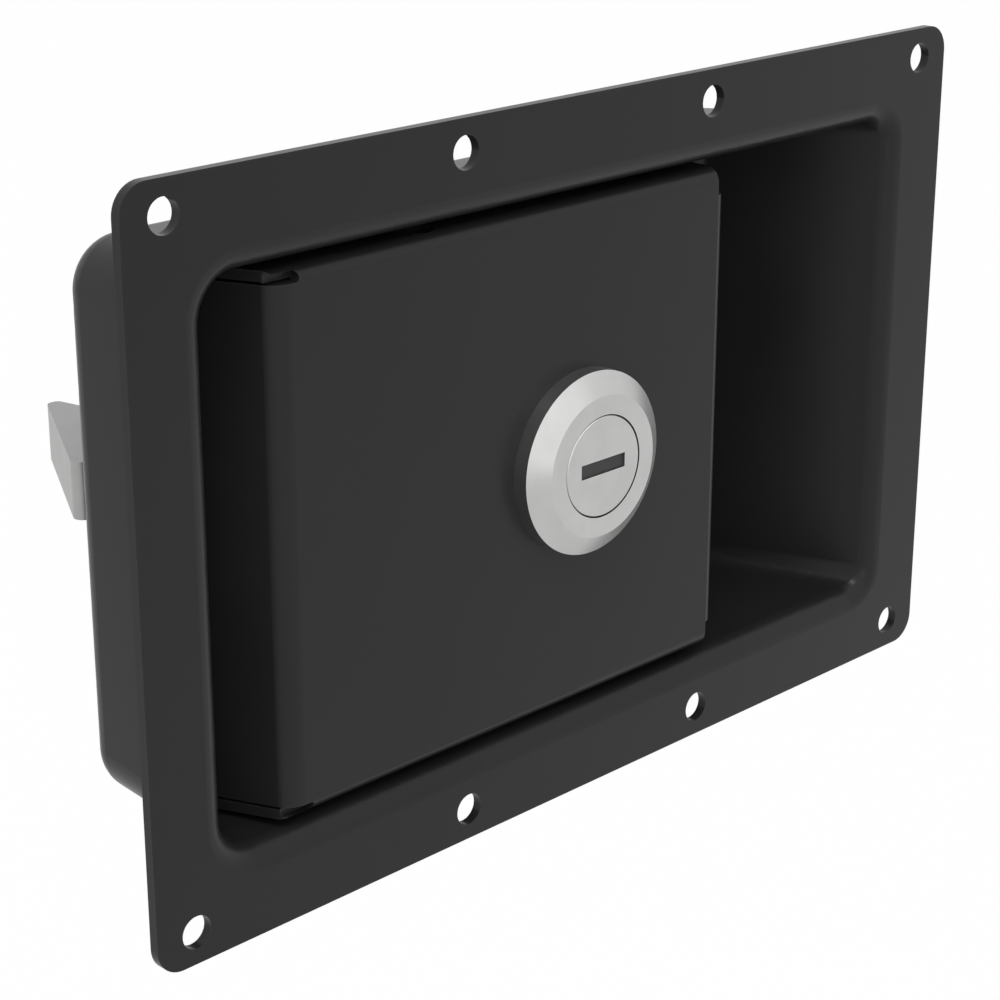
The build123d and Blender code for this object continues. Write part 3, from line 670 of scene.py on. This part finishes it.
# %% The eight rivets
for node, name in (("bracket_rivets", "hinge_rivets"), ("housing_rivets", "track_rivets")):
    place, size = middle(node)
    rivets = grow_piece(name, rivet_tree, "zinc_plate", {
        "Grip": size.y - 2 * HEAD_HEIGHT, "Columns Apart": size.x - 2 * HEAD_RADIUS,
        "Rows Apart": size.z - 2 * HEAD_RADIUS, "Place": tuple(place)})
    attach(rivets, "case")
    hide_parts(node)

# %% [markdown]
# ## Weld beads
# The release lever is welded to the inside of the paddle along both edges of its base, and
# the coat covers the welds too. A weld is a row of drops that each froze on the one before,
# so the tree sets flattened drops along a line, each a little turned and sized by a fixed seed.

# %% Tree: a weld along a line
weld_tree, weld_in, weld_out = new_shape_tree("weld_row", [
    ("Length", NUMBER, 0.018), ("Drops", WHOLE, 12), ("Drop Radius", NUMBER, 0.0014),
    ("Seed", WHOLE, 1), ("Place", PLACE, (0, 0, 0)), ("Finish", FINISH, None)])
half = number(weld_tree, "MULTIPLY", weld_in["Length"], 0.5)
back = number(weld_tree, "MULTIPLY", weld_in["Length"], -0.5)
row = add_node(weld_tree, "GeometryNodeMeshLine", {"mode": "END_POINTS"}, {
    "Count": weld_in["Drops"], "Start Location": vector(weld_tree, 0.0, 0.0, back),
    "Offset": vector(weld_tree, 0.0, 0.0, half)})
drop = add_node(weld_tree, "GeometryNodeMeshUVSphere", None, {
    "Segments": 24, "Rings": 14, "Radius": weld_in["Drop Radius"]})
lean = add_node(weld_tree, "FunctionNodeRandomValue", {"data_type": "FLOAT_VECTOR"}, {
    "Min": (-0.3, 0.15, -0.3), "Max": (0.3, 0.55, 0.3), "Seed": weld_in["Seed"]})
grow = add_node(weld_tree, "FunctionNodeRandomValue", {"data_type": "FLOAT_VECTOR"}, {
    "Min": (0.95, 0.85, 0.55), "Max": (1.1, 1.0, 0.7), "Seed": weld_in["Seed"]})
drops = add_node(weld_tree, "GeometryNodeInstanceOnPoints", None, {
    "Points": row.outputs[0], "Instance": smooth(weld_tree, drop.outputs[0]),
    "Rotation": lean.outputs[0], "Scale": grow.outputs[0]})
end_tree(weld_tree, weld_out, drops.outputs[0], weld_in["Place"], (0.0, 0.0, 0.0),
         weld_in["Finish"])

# %% The two welds of the lever
WELD_SHARE = 0.9  # of the lever's height
WELD_LIFT = 0.0002

low, high = corners_of("release_lever")
for side, x, seed in (("left", low.x, 4), ("right", high.x, 5)):
    weld = grow_piece("lever_weld_" + side, weld_tree, "black_coat", {
        "Length": WELD_SHARE * (high.z - low.z), "Seed": seed,
        "Place": (x, low.y + WELD_LIFT, (low.z + high.z) / 2)})
    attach(weld, "handle")

# %% [markdown]
# ## The floor
# The latch is held by its screws, so the floor lies well below it. It is white to the camera
# and pale in reflections, but it lights the latch gently: white comes from what the camera
# sees, never from more light. In reflections it darkens towards the left, so that the faces
# of the lock differ in tone.

# %% Floor
FLOOR_DEPTH, FLOOR_HALF = 0.30, 3.0
SEEN_WHITE = 0.985
LEFT_SHINE, RIGHT_SHINE, SHINE_REACH = 0.62, 0.96, 0.4

floor_mesh = bpy.data.meshes.new("floor")
shape = bmesh.new()
bmesh.ops.create_grid(shape, x_segments=2, y_segments=2, size=FLOOR_HALF)
bmesh.ops.translate(shape, verts=shape.verts, vec=(0.0, 0.0, -FLOOR_DEPTH))
shape.to_mesh(floor_mesh)
shape.free()
floor = bpy.data.objects.new("floor", floor_mesh)
scene.collection.objects.link(floor)

pale, tree, shader = new_material("pale_floor", 0.0, Roughness=0.9)
shader.inputs["Base Color"].default_value = (0.82, 0.82, 0.82, 1)
rays = add_node(tree, "ShaderNodeLightPath").outputs
across = add_node(tree, "ShaderNodeSeparateXYZ", None, {0: object_place(tree)}).outputs[0]
shine = number(tree, "MULTIPLY", rays["Is Glossy Ray"], remap(
    tree, across, -SHINE_REACH, SHINE_REACH, LEFT_SHINE, RIGHT_SHINE))
share = number(tree, "MAXIMUM", number(
    tree, "MULTIPLY", rays["Is Camera Ray"], SEEN_WHITE), shine)
glow = add_node(tree, "ShaderNodeEmission", None, {"Color": (1, 1, 1, 1), "Strength": 1.0})
mixed = add_node(tree, "ShaderNodeMixShader", None, {
    0: share, 1: shader.outputs[0], 2: glow.outputs[0]})
tree.links.new(mixed.outputs[0], tree.nodes["Material Output"].inputs["Surface"])
floor_mesh.materials.append(pale)
print("floor", FLOOR_DEPTH, "m below the latch")

# %% [markdown]
# ## The world and the lamps
# The world is white where it is seen or mirrored, and about half as strong as a light. A very
# large lamp in front of and above the latch gives soft shade, a smaller one overhead draws
# the shine along the bends, and a weak one at the left opens up the pan.

# %% World
WORLD_LIGHT = 0.55

world = bpy.data.worlds.new("studio")
scene.world = world
world.use_nodes = True
tree = world.node_tree
rays = add_node(tree, "ShaderNodeLightPath").outputs
seen = number(tree, "MAXIMUM", rays["Is Camera Ray"], rays["Is Glossy Ray"])
strength = remap(tree, seen, 0.0, 1.0, WORLD_LIGHT, 1.0)
background = tree.nodes["Background"]
background.inputs["Color"].default_value = (1, 1, 1, 1)
tree.links.new(strength, background.inputs["Strength"])
print("world lights at", WORLD_LIGHT)


# %% Lamps
def large_lamp(name, place, width, watts):
    """A soft square lamp that looks at the middle of the flange."""
    data = bpy.data.lights.new(name, "AREA")
    data.shape = "SQUARE"
    data.size = width
    data.energy = watts
    lamp = bpy.data.objects.new(name, data)
    turn = (-Vector(place)).to_track_quat("-Z", "Y").to_matrix().to_4x4()
    lamp.matrix_world = Matrix.Translation(place) @ turn
    scene.collection.objects.link(lamp)
    print(name, watts, "W")


large_lamp("key_lamp", (-0.2, -1.1, 1.4), 2.2, 6.0)
large_lamp("overhead_lamp", (-0.40, -0.50, 1.5), 0.35, 4.0)
large_lamp("fill_lamp", (-0.8, -1.3, 0.2), 0.8, 1.4)
